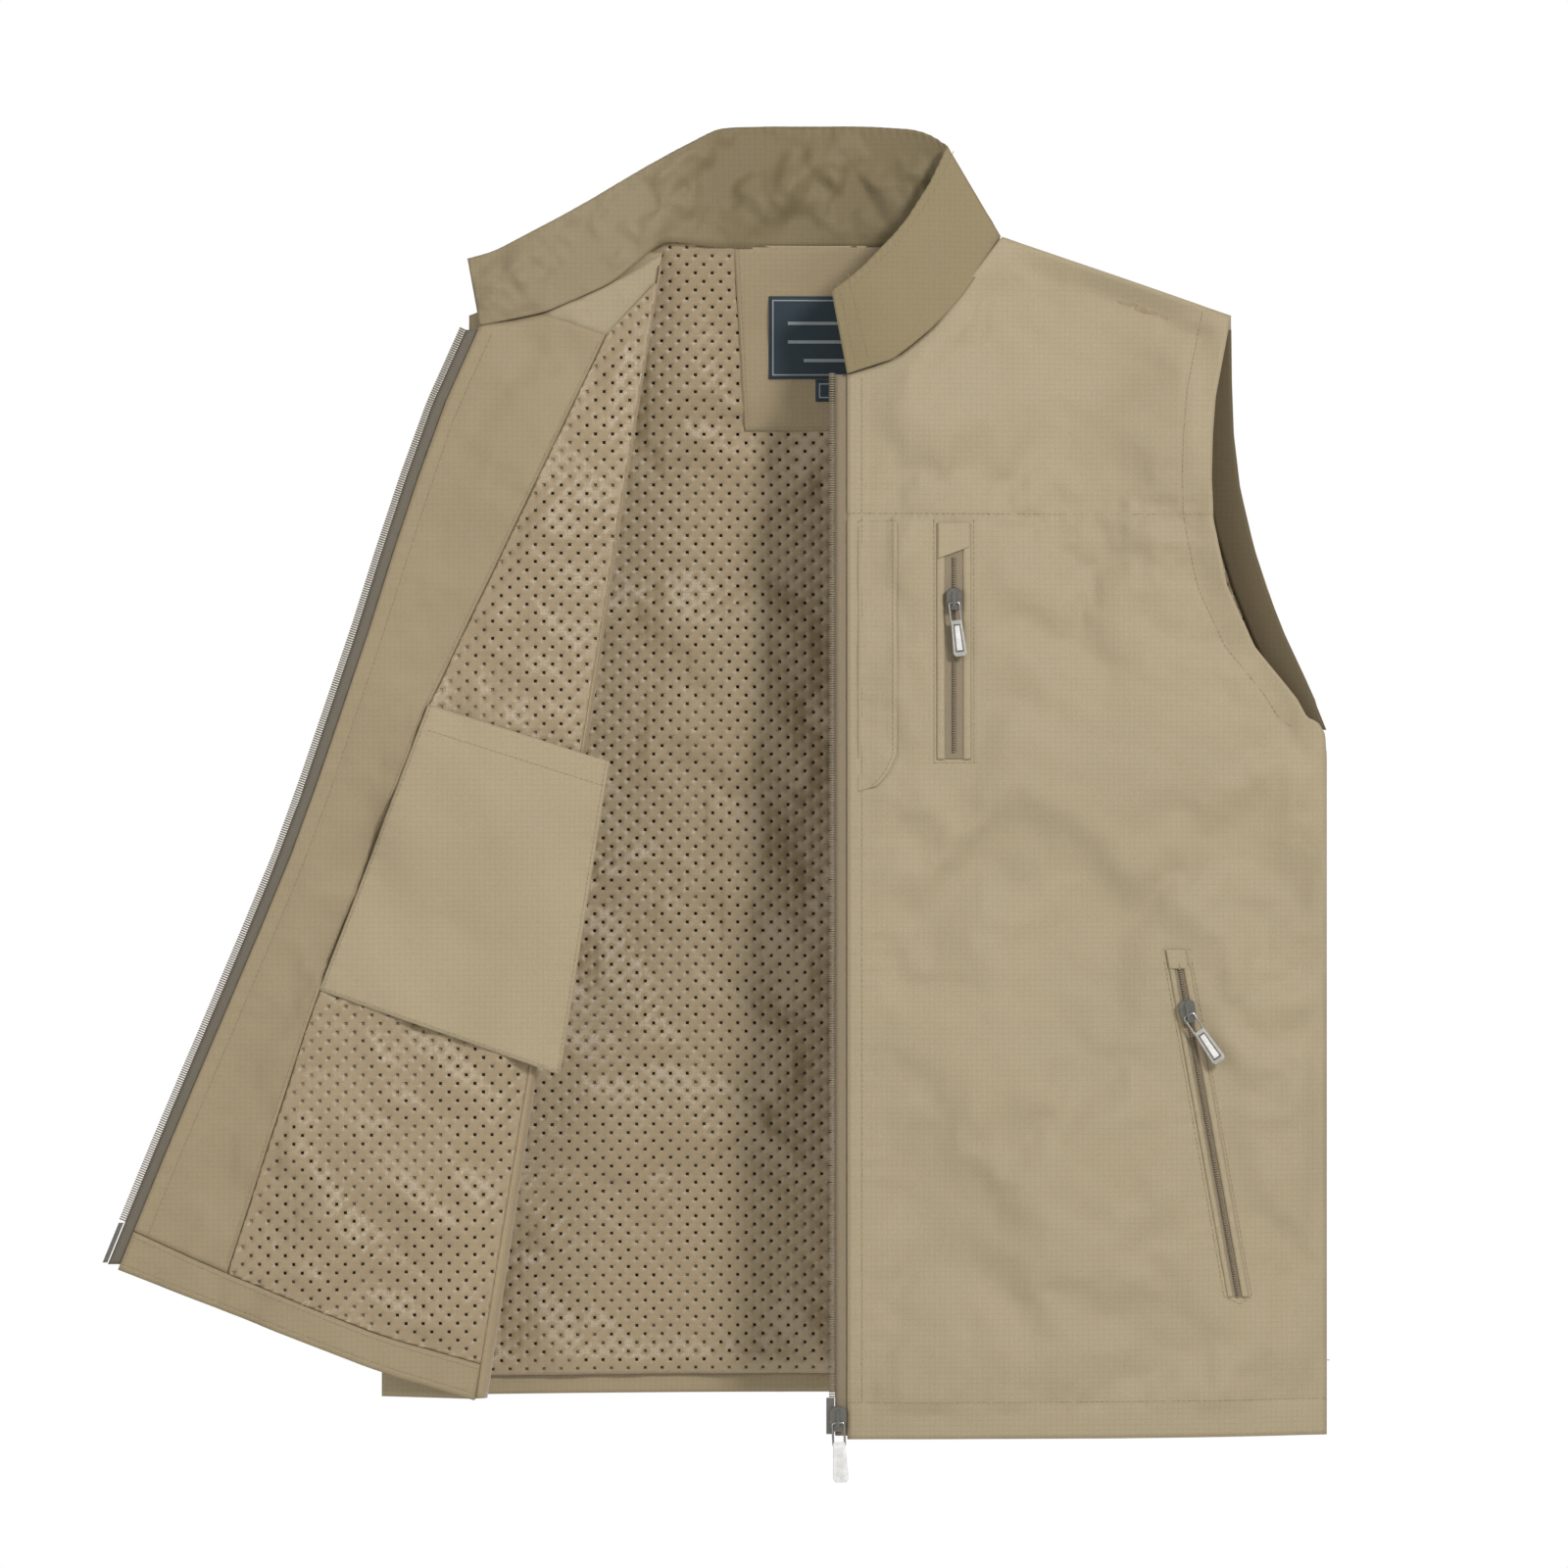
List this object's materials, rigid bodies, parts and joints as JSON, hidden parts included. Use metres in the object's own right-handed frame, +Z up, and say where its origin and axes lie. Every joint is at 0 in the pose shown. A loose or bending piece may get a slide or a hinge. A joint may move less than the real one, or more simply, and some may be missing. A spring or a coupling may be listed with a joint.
{
  "type": "fishing vest",
  "caption": "Light sleeveless stand-collar vest with a full-length front zip, mesh lining, zipped chest and hand pockets and an inner patch pocket, one front folded open.",
  "frame": {"origin": "middle of the neck opening, level with the centre back neck seam", "axes": "+X to the wearer's left, +Y to the wearer's back, +Z up"},
  "size_m": [0.7013, 0.1118, 0.779],
  "materials": {
    "shell_cloth": "fine ripstop weave, faint satin",
    "mesh_lining": "perforated tricot mesh, soft sheen",
    "pocket_bag": "plain light weave",
    "zip_tape": "woven tape with coil teeth",
    "zip_metal": "dark nickel",
    "pull_tab": "satin light grey",
    "label": "woven satin"
  },
  "bodies": {
    "torso": {"back_shell": "shell_cloth", "back_lining": "mesh_lining", "back_hem_band": "shell_cloth", "back_neck_facing": "shell_cloth", "neck_label": "label", "size_tab": "label", "collar_back": "shell_cloth", "collar_back_facing": "shell_cloth", "left_side_yoke": "shell_cloth", "left_side_panel": "shell_cloth", "left_side_yoke_lining": "mesh_lining", "left_side_lining": "mesh_lining", "left_side_hem_band": "shell_cloth", "left_armhole_facing": "shell_cloth", "left_hand_zip_tape": "zip_tape", "left_hand_zip_coil": "zip_tape", "left_hand_pocket_bag": "pocket_bag", "right_side_yoke": "shell_cloth", "right_side_panel": "shell_cloth", "right_side_yoke_lining": "mesh_lining", "right_side_lining": "mesh_lining", "right_side_hem_band": "shell_cloth", "right_armhole_facing": "shell_cloth", "right_hand_zip_tape": "zip_tape", "right_hand_zip_coil": "zip_tape", "right_hand_pocket_bag": "pocket_bag"},
    "right_front": {"right_front_yoke": "shell_cloth", "right_front_panel": "shell_cloth", "right_front_facing": "shell_cloth", "right_front_lining": "mesh_lining", "right_front_hem_band": "shell_cloth", "inner_patch_pocket": "shell_cloth", "right_front_zip_tape": "zip_tape", "right_front_zip_teeth": "zip_tape", "right_zip_pin": "zip_metal", "right_collar": "shell_cloth", "right_collar_facing": "shell_cloth"},
    "left_front": {"left_front_yoke": "shell_cloth", "left_front_panel": "shell_cloth", "left_front_facing": "shell_cloth", "left_front_lining": "mesh_lining", "left_front_hem_band": "shell_cloth", "left_front_zip_tape": "zip_tape", "left_front_zip_teeth": "zip_tape", "left_zip_box": "zip_metal", "slit_pocket_flap": "shell_cloth", "chest_zip_tape": "zip_tape", "chest_zip_coil": "zip_tape", "chest_zip_hood": "shell_cloth", "chest_pocket_bag": "pocket_bag", "left_collar": "shell_cloth", "left_collar_facing": "shell_cloth"},
    "chest_slider": {"chest_slider": "zip_metal"},
    "chest_pull": {"chest_pull": "pull_tab"},
    "left_hand_slider": {"left_hand_slider": "zip_metal"},
    "left_hand_pull": {"left_hand_pull": "pull_tab"},
    "right_hand_slider": {"right_hand_slider": "zip_metal"},
    "right_hand_pull": {"right_hand_pull": "pull_tab"},
    "main_slider": {"main_slider": "zip_metal"},
    "main_pull": {"main_pull": "pull_tab"}
  },
  "joints": [
    {"name": "right_front_fold", "type": "hinge", "parent": "torso", "child": "right_front", "pos_m": [-0.098, -0.00645, -0.005], "axis": [0.1601, 0.0442, 0.9861], "range_deg": [0, 157]},
    {"name": "left_front_fold", "type": "hinge", "parent": "torso", "child": "left_front", "pos_m": [0.098, -0.0085, -0.005], "axis": [-0.1734, 0.0358, 0.9842], "range_deg": [0, 125]},
    {"name": "main_zip_run", "type": "slide", "parent": "left_front", "child": "main_slider", "axis": [0, 0.0295, 0.9996], "range_m": [0, 0.58]},
    {"name": "main_pull_lift", "type": "hinge", "parent": "main_slider", "child": "main_pull", "pos_m": [0.0029, -0.05239, -0.676], "axis": [-0.9988, 0, -0.05], "range_deg": [0, 140]},
    {"name": "chest_zip_run", "type": "slide", "parent": "left_front", "child": "chest_slider", "axis": [0, -0.0434, -0.9991], "range_m": [-0.012, 0.076]},
    {"name": "chest_pull_lift", "type": "hinge", "parent": "chest_slider", "child": "chest_pull", "pos_m": [0.0695, -0.03517, -0.207], "axis": [-0.9928, 0, -0.1197], "range_deg": [0, 140]},
    {"name": "left_hand_zip_run", "type": "slide", "parent": "torso", "child": "left_hand_slider", "axis": [0.1753, -0.012, -0.9844], "range_m": [-0.014, 0.148]},
    {"name": "left_hand_pull_lift", "type": "hinge", "parent": "left_hand_slider", "child": "left_hand_pull", "pos_m": [0.20411, -0.02376, -0.44371], "axis": [-0.8253, 0, -0.5646], "range_deg": [0, 140]},
    {"name": "right_hand_zip_run", "type": "slide", "parent": "torso", "child": "right_hand_slider", "axis": [-0.1602, -0.0177, -0.9869], "range_m": [-0.014, 0.148]},
    {"name": "right_hand_pull_lift", "type": "hinge", "parent": "right_hand_slider", "child": "right_hand_pull", "pos_m": [-0.18624, -0.02523, -0.44371], "axis": [-0.8253, 0, 0.5646], "range_deg": [0, 10]}
  ]
}
